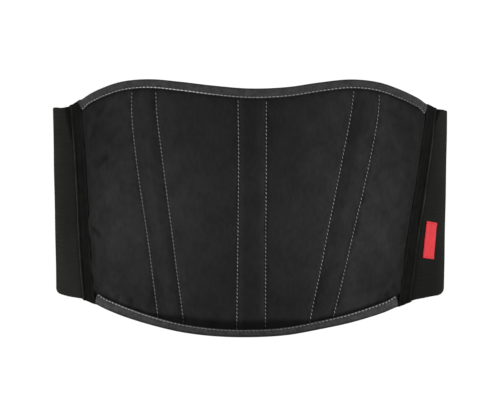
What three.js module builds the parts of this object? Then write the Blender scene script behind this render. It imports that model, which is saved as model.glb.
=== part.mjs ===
// Kidney belt: a padded back panel with bound edges and two elastic wings that close round the waist.
// Millimetres, +Z up. The origin is the middle of the waist opening, half-way up the wings.
// The padded panel is at -Y, over the wearer's back, and the wings overlap at +Y, in front.
//
// Every piece is laid out flat first, as cloth is cut, and then wrapped round the waist:
// "along" runs round the waist from the middle of the back, positive to +X,
// "height" runs up, and "out" is the distance outwards from the body.

import * as THREE from "three";

// Driving dimensions

const GAP = 0.3; // clearance between pieces that lie on each other

// Inside of the belt: an ellipse that opens a little towards the top.
const WAIST = { halfWidth: 181.5, halfDepth: 109, flarePerMm: 0.008 };

// Finished outline of the belt: its height at distances to the left and to the right of the back's middle.
const OUTLINE = [
  { along: 0, topLeft: 102.4, topRight: 102.4, bottomLeft: -114.1, bottomRight: -114.1 },
  { along: 32, topLeft: 105, topRight: 103.7, bottomLeft: -113.4, bottomRight: -112.5 },
  { along: 60, topLeft: 108.4, topRight: 107.8, bottomLeft: -110.5, bottomRight: -108.2 },
  { along: 88, topLeft: 110.8, topRight: 110.6, bottomLeft: -105.1, bottomRight: -103.4 },
  { along: 114, topLeft: 108.9, topRight: 108.4, bottomLeft: -98.9, bottomRight: -97.7 },
  { along: 136, topLeft: 102.9, topRight: 102.4, bottomLeft: -92.7, bottomRight: -92.2 },
  { along: 158, topLeft: 94.4, topRight: 94.6, bottomLeft: -87.1, bottomRight: -87.4 },
  { along: 172, topLeft: 89, topRight: 89.3, bottomLeft: -86.4, bottomRight: -86.7 },
  { along: 187, topLeft: 87, topRight: 85.6, bottomLeft: -86.4, bottomRight: -86.3 },
  { along: 205, topLeft: 87.2, topRight: 84.8, bottomLeft: -86, bottomRight: -86.2 },
  { along: 223, topLeft: 86.8, topRight: 84.6, bottomLeft: -83.4, bottomRight: -84.2 },
  { along: 330, topLeft: 84, topRight: 83.4, bottomLeft: -83, bottomRight: -83 },
  { along: 464, topLeft: 78, topRight: 78, bottomLeft: -77, bottomRight: -77 },
  { along: 530, topLeft: 77, topRight: 77, bottomLeft: -76, bottomRight: -76 },
];

// Seam lines up the panel: how far along the waist each lies at five heights.
// The first and the last height are beyond the panel, so that the lines still lean where they meet its edges.
const SEAM_HEIGHTS = { foot: -130, low: -45, high: 40, upper: 85, top: 130 };
const SEAMS = {
  leftSide: { foot: -149.8, low: -157.3, high: -162, upper: -166.6, top: -169.6 },
  leftOuter: { foot: -79.4, low: -87.6, high: -99.9, upper: -104.1, top: -102 },
  leftInner: { foot: -56.4, low: -65, high: -75.8, upper: -81, top: -82 },
  centreLeft: { foot: -11.6, low: -10.6, high: -9.7, upper: -10.1, top: -11 },
  centreRight: { foot: 13.4, low: 13.4, high: 13.9, upper: 13.9, top: 14.5 },
  rightInner: { foot: 49.6, low: 63.2, high: 79.9, upper: 88.4, top: 92.5 },
  rightOuter: { foot: 69.5, low: 85.8, high: 105.9, upper: 114.1, top: 114.1 },
  rightSide: { foot: 141.8, low: 152.4, high: 169, upper: 177.2, top: 181.7 },
};

// Padded fields between the seams, from left to right. The narrow ones are the channels for the stays.
const FIELDS = [
  { from: "leftSide", to: "leftOuter", padding: 8, columns: 8 },
  { from: "leftOuter", to: "leftInner", padding: 6.6, columns: 4 },
  { from: "leftInner", to: "centreLeft", padding: 8, columns: 8 },
  { from: "centreLeft", to: "centreRight", padding: 6.6, columns: 4 },
  { from: "centreRight", to: "rightInner", padding: 8, columns: 8 },
  { from: "rightInner", to: "rightOuter", padding: 6.6, columns: 4 },
  { from: "rightOuter", to: "rightSide", padding: 8, columns: 8 },
];

const PANEL = {
  sewnThickness: 5, // along a stitched seam
  swellPower: 0.7, // below 1 the padding rises quickly beside a seam and is flatter in between
  edgeThickness: 3, // pressed flat inside the edge binding
  edgeMargin: 10, // flat border under the binding
  edgeRun: 14, // distance over which the padding swells beside the border
  sideMargin: 8.3, // flat border under the side tape
  sideRun: 15,
  rowsFromEdge: [0, 5, 10, 15, 22], // grid rows beside the top and bottom edges
  middleRows: 9,
};

// Tape folded over the panel's top and bottom edges.
// Its back is a little wider than its front, so that one line of stitches catches both.
const BINDING = { cloth: 1, backExtra: 0.4, foldRadius: 1.8, steps: 44 };
const TOP_BINDING_WIDTH = [
  { along: 0, front: 8.6 },
  { along: 90, front: 8 },
  { along: 150, front: 8.3 },
];
const BOTTOM_BINDING_WIDTH = [
  { along: 0, front: 6.4 },
  { along: 70, front: 7.2 },
  { along: 140, front: 9 },
];

// Tape over the seam between panel and wing, across from the panel's side to the wing's,
// where its edge is rolled into a ridge.
const TAPE = { cloth: 1.2, rows: 18 };
const TAPE_PROFILE = [
  { across: -7.5, lift: 0 },
  { across: -1, lift: 0 },
  { across: 2.8, lift: 0 },
  { across: 3.7, lift: 0.8 },
  { across: 4.6, lift: 1.2 },
  { across: 5.6, lift: 0.7 },
  { across: 7.5, lift: 0 },
];

// Elastic wings. The right one laps over the left one in front.
const WING = { cloth: 2.5, endRadius: 28, pastFront: 55, columns: 40, rows: 8 };
const OUTER_WING = { climb: 75, levelBefore: 5 }; // length of its rise, which ends before the left wing

const HOOK_PAD = { cloth: 1.5, width: 90, height: 120, cornerRadius: 10, columns: 14, rows: 2 };
const LABEL = { cloth: 0.8, width: 17.5, height: 33.5, columns: 6, rows: 4 };
const LABEL_PLACE = { along: 178.2, height: -34.1, leanDeg: 8.7 };

const COLOURS = {
  shell: 0x1b1c1d,
  binding: 0x3a3b3c,
  tape: 0x101010,
  elastic: 0x191a17,
  hook: 0x141414,
  label: 0xc8202c,
};

// Levels out from the body, worked out from the sizes above.
const PANEL_EDGE_IN = BINDING.cloth + GAP;
const PANEL_EDGE_OUT = PANEL_EDGE_IN + PANEL.edgeThickness;
const BINDING_FRONT = PANEL_EDGE_OUT + GAP + BINDING.cloth;
const ON_WING = WING.cloth + GAP; // side tapes, hook pad and label lie on a wing
const OUTER_WING_LIFT = ON_WING + HOOK_PAD.cloth + GAP;

// Curves of the cut

// A smooth curve through a short table, level at both ends.
function curveThrough(places, values) {
  const curve = new THREE.CubicInterpolant(new Float32Array(places), new Float32Array(values), 1);
  curve.settings = { endingStart: THREE.ZeroSlopeEnding, endingEnd: THREE.ZeroSlopeEnding };
  return (place) => curve.evaluate(place)[0];
}

function outlineCurve(left, right) {
  const leftwards = OUTLINE.slice(1).reverse();
  const places = [...leftwards.map((row) => -row.along), ...OUTLINE.map((row) => row.along)];
  const heights = [...leftwards.map((row) => row[left]), ...OUTLINE.map((row) => row[right])];
  return curveThrough(places, heights);
}

const topOutline = outlineCurve("topLeft", "topRight");
const bottomOutline = outlineCurve("bottomLeft", "bottomRight");

// Width of a binding's front, the same to the left and to the right of the back's middle.
function widthCurve(table) {
  const curve = curveThrough(table.map((row) => row.along), table.map((row) => row.front));
  return (along) => curve(Math.abs(along));
}

const topBindingWidth = widthCurve(TOP_BINDING_WIDTH);
const bottomBindingWidth = widthCurve(BOTTOM_BINDING_WIDTH);

const seamLines = Object.fromEntries(
  Object.entries(SEAMS).map(([name, row]) => [
    name,
    curveThrough(Object.values(SEAM_HEIGHTS), Object.keys(SEAM_HEIGHTS).map((key) => row[key])),
  ]),
);

// The height where a line up the cloth meets an outline, found by stepping between the two.
function heightOn(outline, line) {
  const steps = 12;
  let height = 0;
  for (let step = 0; step < steps; step += 1) height = outline(line(height));
  return height;
}

// Wrapping the cut round the waist

const waistCurve = new THREE.EllipseCurve(
  0, 0, WAIST.halfWidth, WAIST.halfDepth, -0.5 * Math.PI, 1.5 * Math.PI,
);
waistCurve.arcLengthDivisions = 4000;
const GIRTH = waistCurve.getLength();
const FRONT = GIRTH / 2; // along, at the middle of the front

function wrap(along, height, out) {
  const turn = THREE.MathUtils.euclideanModulo(along / GIRTH, 1);
  const foot = waistCurve.getPointAt(turn);
  const tangent = waistCurve.getTangentAt(turn);
  const reach = out + WAIST.flarePerMm * height;
  return new THREE.Vector3(foot.x + reach * tangent.y, foot.y - reach * tangent.x, height);
}

// Closed solids from grids of points

function geometryFrom(points, triangles) {
  const geometry = new THREE.BufferGeometry().setFromPoints(points);
  geometry.setIndex(triangles);
  geometry.computeVertexNormals();
  return geometry;
}

// A wall of cloth: place(i, j, outer) gives a point of its outer or inner face, and a rim joins the two.
function wall(columns, rows, place) {
  const points = [];
  const triangles = [];
  const faceSize = (columns + 1) * (rows + 1);
  const outer = (i, j) => i * (rows + 1) + j;
  const inner = (i, j) => faceSize + outer(i, j);
  for (const isOuter of [true, false])
    for (let i = 0; i <= columns; i += 1)
      for (let j = 0; j <= rows; j += 1) points.push(place(i, j, isOuter));
  for (let i = 0; i < columns; i += 1)
    for (let j = 0; j < rows; j += 1) {
      const corners = [[i, j], [i + 1, j], [i + 1, j + 1], [i, j + 1]];
      const [a, b, c, d] = corners.map((corner) => outer(...corner));
      const [e, f, g, h] = corners.map((corner) => inner(...corner));
      triangles.push(a, b, c, a, c, d, e, g, f, e, h, g);
    }
  const rim = [];
  for (let i = 0; i < columns; i += 1) rim.push([i, 0]);
  for (let j = 0; j < rows; j += 1) rim.push([columns, j]);
  for (let i = columns; i > 0; i -= 1) rim.push([i, rows]);
  for (let j = rows; j > 0; j -= 1) rim.push([0, j]);
  rim.forEach((from, k) => {
    const to = rim[(k + 1) % rim.length];
    triangles.push(outer(...from), inner(...from), inner(...to));
    triangles.push(outer(...from), inner(...to), outer(...to));
  });
  return geometryFrom(points, triangles);
}

// A section carried along a path: sections has a ring of points for each step, and shape is its flat form.
function sweep(sections, shape) {
  const count = shape.length;
  const triangles = [];
  for (let k = 0; k < sections.length - 1; k += 1)
    for (let m = 0; m < count; m += 1) {
      const next = (m + 1) % count;
      const [p, q] = [k * count + m, k * count + next];
      triangles.push(p, q, q + count, p, q + count, p + count);
    }
  const last = (sections.length - 1) * count;
  for (const [a, b, c] of THREE.ShapeUtils.triangulateShape(shape, [])) {
    triangles.push(a, c, b);
    triangles.push(last + a, last + b, last + c);
  }
  return geometryFrom(sections.flat(), triangles);
}

function piece(name, geometry, colour, roughness) {
  const material = new THREE.MeshStandardMaterial({ color: colour, roughness, metalness: 0 });
  const mesh = new THREE.Mesh(geometry, material);
  mesh.name = name;
  return mesh;
}

// Back panel

// How far the padding has swollen beside the side seams: 0 under the tape and 1 clear of it.
function sideSwell(along, height) {
  const fromSide = Math.min(along - seamLines.leftSide(height), seamLines.rightSide(height) - along);
  return THREE.MathUtils.smoothstep(fromSide - PANEL.sideMargin, 0, PANEL.sideRun);
}

// Lines up the panel: one for each grid column, with the padded height of the field there.
function panelColumns() {
  const columns = [];
  FIELDS.forEach((field, index) => {
    const [left, right] = [seamLines[field.from], seamLines[field.to]];
    const first = index === 0 ? 0 : 1; // neighbouring fields share a seam
    for (let k = first; k <= field.columns; k += 1) {
      const share = k / field.columns;
      const swell = Math.sin(Math.PI * share) ** PANEL.swellPower;
      columns.push({
        line: (height) => THREE.MathUtils.lerp(left(height), right(height), share),
        padding: THREE.MathUtils.lerp(PANEL.sewnThickness, field.padding, swell),
      });
    }
  });
  return columns;
}

function backPanel() {
  const columns = panelColumns();
  const rowCount = 2 * (PANEL.rowsFromEdge.length - 1) + PANEL.middleRows;
  const lastEdgeRow = PANEL.rowsFromEdge.length - 1;
  const innermost = PANEL.rowsFromEdge[lastEdgeRow];

  // Height of a grid row between the cut edges at the foot and the top of a column.
  const rowHeight = (j, foot, top) => {
    if (j <= lastEdgeRow) return foot + PANEL.rowsFromEdge[j];
    if (j >= rowCount - lastEdgeRow) return top - PANEL.rowsFromEdge[rowCount - j];
    const share = (j - lastEdgeRow) / PANEL.middleRows;
    return THREE.MathUtils.lerp(foot + innermost, top - innermost, share);
  };

  return wall(columns.length - 1, rowCount, (i, j, isOuter) => {
    const { line, padding } = columns[i];
    const foot = heightOn(bottomOutline, line) + PANEL_EDGE_IN;
    const top = heightOn(topOutline, line) - PANEL_EDGE_IN;
    const height = rowHeight(j, foot, top);
    const along = line(height);
    const fromEdge = Math.min(height - foot, top - height);
    const edgeSwell = THREE.MathUtils.smoothstep(fromEdge - PANEL.edgeMargin, 0, PANEL.edgeRun);
    if (!isOuter) return wrap(along, height, PANEL_EDGE_IN * (1 - edgeSwell));
    const middle = THREE.MathUtils.lerp(PANEL_EDGE_OUT, padding, edgeSwell);
    return wrap(along, height, THREE.MathUtils.lerp(WING.cloth, middle, sideSwell(along, height)));
  });
}

// Edge bindings

// The folded tape's section: x runs from the fold into the panel, and y out from the body.
function bindingSection(frontWidth) {
  const { cloth, backExtra, foldRadius } = BINDING;
  const backWidth = frontWidth + backExtra;
  const section = new THREE.Shape();
  section.moveTo(backWidth, cloth);
  section.lineTo(cloth, cloth);
  section.lineTo(cloth, BINDING_FRONT - cloth);
  section.lineTo(frontWidth, BINDING_FRONT - cloth);
  section.lineTo(frontWidth, BINDING_FRONT);
  section.absarc(foldRadius, BINDING_FRONT - foldRadius, foldRadius, 0.5 * Math.PI, Math.PI);
  section.absarc(foldRadius, foldRadius, foldRadius, Math.PI, 1.5 * Math.PI);
  section.lineTo(backWidth, 0);
  return section.getPoints(2);
}

// The front of the binding follows the panel down to the thin border under the side tapes.
function wrapBinding(along, height, out) {
  const drop = (PANEL_EDGE_OUT - WING.cloth) * (1 - sideSwell(along, height));
  return wrap(along, height, out > BINDING_FRONT / 2 ? out - drop : out);
}

// The binding runs along an outline between the side tapes, with the panel always on its left hand.
function edgeBinding(outline, goesRight, widthAt) {
  const inset = GAP - TAPE_PROFILE[0].across;
  const start = (height) => seamLines.leftSide(height) + inset;
  const end = (height) => seamLines.rightSide(height) - inset;
  const from = start(heightOn(outline, start));
  const to = end(heightOn(outline, end));
  const hand = goesRight ? 1 : -1;
  const slopeStep = 0.5;
  const sections = [];
  for (let k = 0; k <= BINDING.steps; k += 1) {
    const share = goesRight ? k / BINDING.steps : 1 - k / BINDING.steps;
    const along = THREE.MathUtils.lerp(from, to, share);
    const slope = (outline(along + slopeStep) - outline(along - slopeStep)) / (2 * slopeStep);
    const inward = new THREE.Vector2(-slope, 1).normalize().multiplyScalar(hand);
    sections.push(
      bindingSection(widthAt(along)).map(({ x, y }) =>
        wrapBinding(along + x * inward.x, outline(along) + x * inward.y, y)),
    );
  }
  return sweep(sections, bindingSection(widthAt(0)));
}

// Side tapes and wings

function sideTape(seam, wingSide) {
  const columns = TAPE_PROFILE.length - 1;
  return wall(columns, TAPE.rows, (i, j, isOuter) => {
    const { across, lift } = TAPE_PROFILE[wingSide > 0 ? i : columns - i];
    const line = (height) => seam(height) + wingSide * across;
    const [foot, top] = [heightOn(bottomOutline, line), heightOn(topOutline, line)];
    const height = THREE.MathUtils.lerp(foot, top, j / TAPE.rows);
    return wrap(line(height), height, ON_WING + (isOuter ? TAPE.cloth + lift : 0));
  });
}

// How much the rounded end of a strip takes off its height, at a distance before the end.
function cornerCut(beforeEnd, radius) {
  if (beforeEnd >= radius) return 0;
  return radius - Math.sqrt(radius ** 2 - (radius - beforeEnd) ** 2);
}

// A wing runs from the side seam past the middle of the front, and liftAt raises it over the other one.
function wing(seam, side, liftAt) {
  const end = side * (FRONT + WING.pastFront);
  const nearSeam = (height) => seam(height) + side * GAP;
  return wall(WING.columns, WING.rows, (i, j, isOuter) => {
    const k = side > 0 ? i : WING.columns - i;
    const share = Math.sin((0.5 * Math.PI * k) / WING.columns); // columns close up at the rounded end
    const line = (height) => THREE.MathUtils.lerp(nearSeam(height), end, share);
    const cut = cornerCut(Math.abs(end - line(0)), WING.endRadius);
    const foot = heightOn(bottomOutline, line) + cut;
    const top = heightOn(topOutline, line) - cut;
    const height = THREE.MathUtils.lerp(foot, top, j / WING.rows);
    const along = line(height);
    return wrap(along, height, liftAt(along) + (isOuter ? WING.cloth : 0));
  });
}

// The outer wing climbs over the other wing's end and the hook pad between them.
function outerLift(along) {
  const level = FRONT - WING.pastFront - OUTER_WING.levelBefore;
  return OUTER_WING_LIFT * THREE.MathUtils.smoothstep(along, level - OUTER_WING.climb, level);
}

// Closure and label

function hookPad() {
  const { width, height, cornerRadius, columns, rows, cloth } = HOOK_PAD;
  return wall(columns, rows, (i, j, isOuter) => {
    const offset = -0.5 * width * Math.cos((Math.PI * i) / columns); // columns close up at both ends
    const cut = cornerCut(0.5 * width - Math.abs(offset), cornerRadius);
    const up = (j / rows - 0.5) * (height - 2 * cut);
    return wrap(FRONT + offset, up, ON_WING + (isOuter ? cloth : 0));
  });
}

function label() {
  const { width, height, columns, rows, cloth } = LABEL;
  const lean = THREE.MathUtils.degToRad(LABEL_PLACE.leanDeg);
  const middle = new THREE.Vector2(LABEL_PLACE.along, LABEL_PLACE.height);
  return wall(columns, rows, (i, j, isOuter) => {
    const flat = new THREE.Vector2((i / columns - 0.5) * width, (j / rows - 0.5) * height).add(middle);
    flat.rotateAround(middle, -lean);
    return wrap(flat.x, flat.y, ON_WING + (isOuter ? cloth : 0));
  });
}

// Assembly

const belt = new THREE.Group();
belt.name = "kidney_belt";
belt.add(
  piece("back_panel", backPanel(), COLOURS.shell, 0.85),
  piece("top_binding", edgeBinding(topOutline, false, topBindingWidth), COLOURS.binding, 0.9),
  piece("bottom_binding", edgeBinding(bottomOutline, true, bottomBindingWidth), COLOURS.binding, 0.9),
  piece("left_side_tape", sideTape(seamLines.leftSide, -1), COLOURS.tape, 0.7),
  piece("right_side_tape", sideTape(seamLines.rightSide, 1), COLOURS.tape, 0.7),
  piece("left_wing", wing(seamLines.leftSide, -1, () => 0), COLOURS.elastic, 0.9),
  piece("right_wing", wing(seamLines.rightSide, 1, outerLift), COLOURS.elastic, 0.9),
  piece("hook_pad", hookPad(), COLOURS.hook, 0.9),
  piece("label", label(), COLOURS.label, 0.7),
);

export default belt;
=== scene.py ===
import math

import bpy
import numpy as np
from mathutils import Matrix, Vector


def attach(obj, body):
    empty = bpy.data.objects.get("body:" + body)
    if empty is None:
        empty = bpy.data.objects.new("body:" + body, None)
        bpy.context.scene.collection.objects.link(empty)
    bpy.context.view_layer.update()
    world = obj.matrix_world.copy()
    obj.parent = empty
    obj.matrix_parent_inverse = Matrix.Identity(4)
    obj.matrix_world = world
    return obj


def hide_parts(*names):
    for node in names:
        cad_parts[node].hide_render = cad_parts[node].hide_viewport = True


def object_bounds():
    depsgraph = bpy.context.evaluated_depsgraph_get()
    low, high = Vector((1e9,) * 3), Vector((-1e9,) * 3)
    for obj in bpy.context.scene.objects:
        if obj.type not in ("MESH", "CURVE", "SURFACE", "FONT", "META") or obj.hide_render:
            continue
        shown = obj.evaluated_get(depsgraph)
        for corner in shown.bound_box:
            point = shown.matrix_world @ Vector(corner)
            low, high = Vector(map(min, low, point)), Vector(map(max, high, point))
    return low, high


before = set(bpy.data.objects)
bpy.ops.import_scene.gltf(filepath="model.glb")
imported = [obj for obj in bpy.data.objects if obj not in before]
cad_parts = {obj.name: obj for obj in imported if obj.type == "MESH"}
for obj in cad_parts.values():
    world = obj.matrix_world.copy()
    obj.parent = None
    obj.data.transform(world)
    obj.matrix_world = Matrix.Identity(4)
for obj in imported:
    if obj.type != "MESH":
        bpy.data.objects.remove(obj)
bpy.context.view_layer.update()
print("frame loaded:", len(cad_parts), "nodes")

# Every piece is laid out flat first, in millimetres: along runs round the waist from the middle of the
# back, height runs up and out leads away from the wearer. wrap() turns that into metres round the waist.

mm = 0.001
gap = 0.3          # air between pieces that lie on each other
tapeHalf = 7.5     # half the width of the tapes over the side seams
far = 99.0         # further than any seam's groove or shade reaches
sharpDeg = 60      # a fold sharper than this shows as an edge
settleRounds = 12  # rounds that fit a leaning line to a curved edge

waist = {
    "halfWidth": 181.5, "halfDepth": 109.0, "flarePerMm": 0.008,
    "tableTurn": 1.4 * np.pi, "tableRows": 20001,  # its table of lengths ends past the front on both sides
}

edgeRows = np.array([  # along, top left, top right, bottom left, bottom right
    [0, 102.4, 102.4, -114.1, -114.1],
    [32, 105.0, 103.7, -113.4, -112.5],
    [60, 108.4, 107.8, -110.5, -108.2],
    [88, 110.8, 110.6, -105.1, -103.4],
    [114, 108.9, 108.4, -98.9, -97.7],
    [136, 102.9, 102.4, -92.7, -92.2],
    [158, 94.4, 94.6, -87.1, -87.4],
    [172, 89.0, 89.3, -86.4, -86.7],
    [187, 87.0, 85.6, -86.4, -86.3],
    [205, 87.2, 84.8, -86.0, -86.2],
    [223, 86.8, 84.6, -83.4, -84.2],
    [330, 84.0, 83.4, -83.0, -83.0],
    [464, 78.0, 78.0, -77.0, -77.0],
    [530, 77.0, 77.0, -76.0, -76.0],
])

seamHeights = [-130, -45, 40, 85, 130]  # the first and the last lie beyond the panel
seamRows = {  # along, at those heights
    "leftSide": [-149.8, -157.3, -162.0, -166.6, -169.6],
    "leftOuter": [-79.4, -87.6, -99.9, -104.1, -102.0],
    "leftInner": [-56.4, -65.0, -75.8, -81.0, -82.0],
    "centreLeft": [-11.6, -10.6, -9.7, -10.1, -11.0],
    "centreRight": [13.4, 13.4, 13.9, 13.9, 14.5],
    "rightInner": [49.6, 63.2, 79.9, 88.4, 92.5],
    "rightOuter": [69.5, 85.8, 105.9, 114.1, 114.1],
    "rightSide": [141.8, 152.4, 169.0, 177.2, 181.7],
}


def curveThrough(places, values):
    # Cubic through the rows of a table: the slope at a row is the mean of the two chords beside it, and the
    # curve is level at both ends. values may hold a whole array for each row.
    places = np.asarray(places, float)
    values = np.asarray(values, float)
    spread = (-1,) + (1,) * (values.ndim - 1)
    chords = np.diff(values, axis=0) / np.diff(places).reshape(spread)
    level = np.zeros_like(values[:1])
    slopes = np.concatenate([level, (chords[1:] + chords[:-1]) / 2, level])

    def curve(place):
        place = np.clip(place, places[0], places[-1])
        before = np.clip(np.searchsorted(places, place, side="right") - 1, 0, len(places) - 2)
        step = places[before + 1] - places[before]
        t = (place - places[before]) / step
        if values.ndim > 1:
            step = step.reshape(spread)
            t = t.reshape(spread)
        rise = t * t * (3 - 2 * t)
        leave = t * (1 - t) ** 2 * step
        arrive = t * t * (t - 1) * step
        start, end = values[before], values[before + 1]
        return start + (end - start) * rise + slopes[before] * leave + slopes[before + 1] * arrive

    return curve


def mirrored(left, right):
    # One edge of the belt from end to end: the left column backwards, then the right one
    places = np.concatenate([-edgeRows[:0:-1, 0], edgeRows[:, 0]])
    return curveThrough(places, np.concatenate([edgeRows[:0:-1, left], edgeRows[:, right]]))


topEdge = mirrored(1, 2)
bottomEdge = mirrored(3, 4)
topWidth = curveThrough([0, 90, 150], [8.6, 8.0, 8.3])  # of the bindings' fronts
bottomWidth = curveThrough([0, 70, 140], [6.8, 7.7, 9.6])
seams = {name: curveThrough(seamHeights, row) for name, row in seamRows.items()}
seamLines = list(seams.values())

# Arc length along the waist ellipse, by turn from the middle of the back
turnTable = np.linspace(-waist["tableTurn"], waist["tableTurn"], waist["tableRows"])
turnSpeed = np.hypot(waist["halfWidth"] * np.cos(turnTable), waist["halfDepth"] * np.sin(turnTable))
turnSteps = (turnSpeed[1:] + turnSpeed[:-1]) / 2 * np.diff(turnTable)
arcTable = np.concatenate([[0], np.cumsum(turnSteps)])
arcTable -= arcTable[len(arcTable) // 2]
front = np.interp(np.pi, turnTable, arcTable)  # along, at the middle of the wearer's front


def flatPlace(along, height, out):
    # One array of places from their three coordinates
    return np.stack(np.broadcast_arrays(along, height, out), axis=-1)


def wrap(place):
    # The waist ellipse's point at that arc length, pushed out along its normal by out plus the flare
    along, height, out = np.moveaxis(np.asarray(place, float), -1, 0)
    turn = np.interp(along, arcTable, turnTable)
    sine, cosine = np.sin(turn), np.cos(turn)
    wide, deep = waist["halfWidth"], waist["halfDepth"]
    speed = np.hypot(wide * cosine, deep * sine)
    push = (out + waist["flarePerMm"] * height) / speed
    x = wide * sine + push * deep * sine
    y = -deep * cosine - push * wide * cosine
    return np.stack([x, y, height], axis=-1) * mm


def outward(place):
    # Unit direction away from the wearer
    lifted = np.array(place, float)
    lifted[..., 2] += 1
    return (wrap(lifted) - wrap(place)) / mm


def smoothStep(value, start, end):
    # 0 before start, 1 after end, and a cubic that is level at both between them
    t = np.clip((value - start) / (end - start), 0, 1)
    return t * t * (3 - 2 * t)


def blend(low, high, share):
    # Straight from low at share 0 to high at share 1
    return low + (high - low) * share


def band(share, start, end, soft):
    # 1 between start and end, faded out inside them over soft
    return smoothStep(share, start, start + soft) * (1 - smoothStep(share, end - soft, end))


def bell(distance, width):
    # Gaussian hump, 1 in its middle
    return np.exp(-(distance / width) ** 2)


def crowded(step, amount):
    # Even steps from 0 to 1, drawn towards both ends by a sine
    return step - amount * np.sin(2 * np.pi * step) / (2 * np.pi)


def betweenEdges(lineAt, up, footInset=0.0, topInset=0.0):
    # Points on lines up the cloth, at the share up between the two edges. A line leans, so its height
    # decides where it meets an edge and the edge decides its height: a few rounds settle both.
    height = np.zeros(np.broadcast(lineAt(np.zeros(1)), up).shape)
    for _ in range(settleRounds):
        along = lineAt(height)
        height = blend(bottomEdge(along) + footInset, topEdge(along) - topInset, up)
    return along, height


def fromSides(along, height):
    # Distance in from the nearer side seam
    return np.minimum(along - seams["leftSide"](height), seams["rightSide"](height) - along)


def fromEdges(along, height):
    # Distance in from the nearer cut edge
    return np.minimum(height - bottomEdge(along), topEdge(along) - height)


def fromBindings(along, height):
    # Distances down from the top binding's front and up from the lower one's
    aside = np.abs(along)
    return topEdge(along) - height - topWidth(aside), height - bottomEdge(along) - bottomWidth(aside)


def addObject(name, data):
    made = bpy.data.objects.new(name, data)
    bpy.context.scene.collection.objects.link(made)
    return made


def fillMesh(name, points, quads):
    # Quads from arrays, turned over together if they enclose a negative volume
    corners = points[quads]
    diagonal = np.cross(corners[:, 2] - corners[:, 0], corners[:, 3] - corners[:, 1])
    if (corners.mean(axis=1) * diagonal).sum() < 0:
        quads = quads[:, ::-1]
    mesh = bpy.data.meshes.new(name)
    mesh.vertices.add(len(points))
    mesh.vertices.foreach_set("co", np.ascontiguousarray(points, np.float32).ravel())
    mesh.loops.add(quads.size)
    mesh.loops.foreach_set("vertex_index", np.ascontiguousarray(quads, np.int32).ravel())
    mesh.polygons.add(len(quads))
    mesh.polygons.foreach_set("loop_start", np.arange(0, quads.size, 4, dtype=np.int32))
    mesh.polygons.foreach_set("use_smooth", np.ones(len(quads), bool))
    mesh.update(calc_edges=True)
    mesh.set_sharp_from_angle(angle=math.radians(sharpDeg))
    return mesh


def addPiece(name, points, quads, cloth, material, shade):
    # A finished piece at the origin. Its flat place and its painted shade go along as attributes that the
    # materials
    # read: shade 1 is the cloth's own colour, less is painted shade, as in a hollow, more is a painted
    # highlight, as on a crest.
    mesh = fillMesh(name, points, quads)
    flat = mesh.attributes.new("cloth", "FLOAT_VECTOR", "POINT")
    flat.data.foreach_set("vector", np.ascontiguousarray(cloth, np.float32).ravel())
    shades = mesh.attributes.new("shade", "FLOAT", "POINT")
    shades.data.foreach_set("value", np.ascontiguousarray(shade, np.float32).ravel())
    mesh.materials.append(material)
    piece = addObject(name, mesh)
    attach(piece, "root")
    return piece


def addWall(name, outer, inner, material, shade=1.0):
    # Closed wall of cloth: each station's ring runs along the outer skin and back along the inner one.
    # Rings are joined by quads, and a ladder of quads from skin to skin closes the first and the last
    # station. shade is the outer skin's.
    ring = np.concatenate([outer, inner[:, ::-1]], axis=1)
    stations, size = ring.shape[:2]
    index = np.arange(stations * size).reshape(stations, size)
    after = np.roll(index, -1, axis=1)
    sides = np.stack([index[:-1], index[1:], after[1:], after[:-1]], axis=-1).reshape(-1, 4)
    there, back = index[:, :size // 2], index[:, :size // 2 - 1:-1]
    ladders = np.stack([there[:, :-1], there[:, 1:], back[:, 1:], back[:, :-1]], axis=-1)
    quads = np.concatenate([sides, ladders[0], ladders[-1][:, ::-1]])
    cloth = ring.reshape(-1, 3)
    skinShade = np.broadcast_to(shade, outer.shape[:2])
    ringShade = np.concatenate([skinShade, np.ones_like(skinShade)], axis=1)
    return addPiece(name, wrap(cloth), quads, cloth, material, ringShade)


def addSheet(name, outer, inner, material, shade=1.0, *, node):
    # A wall of cloth that stands for a solid of the frame, and hides that solid
    piece = addWall(name, outer, inner, material, shade)
    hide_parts(node)


# Materials: all read the flat place of the cloth in millimetres

def grey(tone):
    return (tone, tone, tone)


def emptyTree(owner):
    # Nodes of a material or a world, with none in them yet
    owner.use_nodes = True
    owner.node_tree.nodes.clear()
    return owner.node_tree


def addNode(tree, kind, inputs=None, **settings):
    made = tree.nodes.new("ShaderNode" + kind)
    for key, value in settings.items():
        setattr(made, key, value)
    for key, value in (inputs or {}).items():
        if isinstance(value, bpy.types.NodeSocket):
            tree.links.new(value, made.inputs[key])
        else:
            made.inputs[key].default_value = value
    return made


def addMath(tree, operation, first, second=0.0, third=0.0):
    return addNode(tree, "Math", {0: first, 1: second, 2: third}, operation=operation).outputs[0]


def addNoise(tree, place, size, detail=3.0, roughness=0.55):
    # Noise whose patches are about size millimetres; size may differ along and up
    scale = addNode(tree, "VectorMath", {0: place, 1: [1 / s for s in size]}, operation="MULTIPLY")
    inputs = {"Vector": scale.outputs[0], "Scale": 1.0, "Detail": detail, "Roughness": roughness}
    return addNode(tree, "TexNoise", inputs).outputs["Fac"]


def addWeave(tree, place, warp, weft):
    # Crossed waves: sine of the warp's turns times cosine of the weft's, both given as turns for each mm
    turns = [[2 * math.pi * k for k in (*thread, 0.0)] for thread in (warp, weft)]
    phases = [addNode(tree, "VectorMath", {0: place, 1: turn}, operation="DOT_PRODUCT") for turn in turns]
    sine = addMath(tree, "SINE", phases[0].outputs["Value"])
    cosine = addMath(tree, "COSINE", phases[1].outputs["Value"])
    return addMath(tree, "MULTIPLY", sine, cosine)


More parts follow.
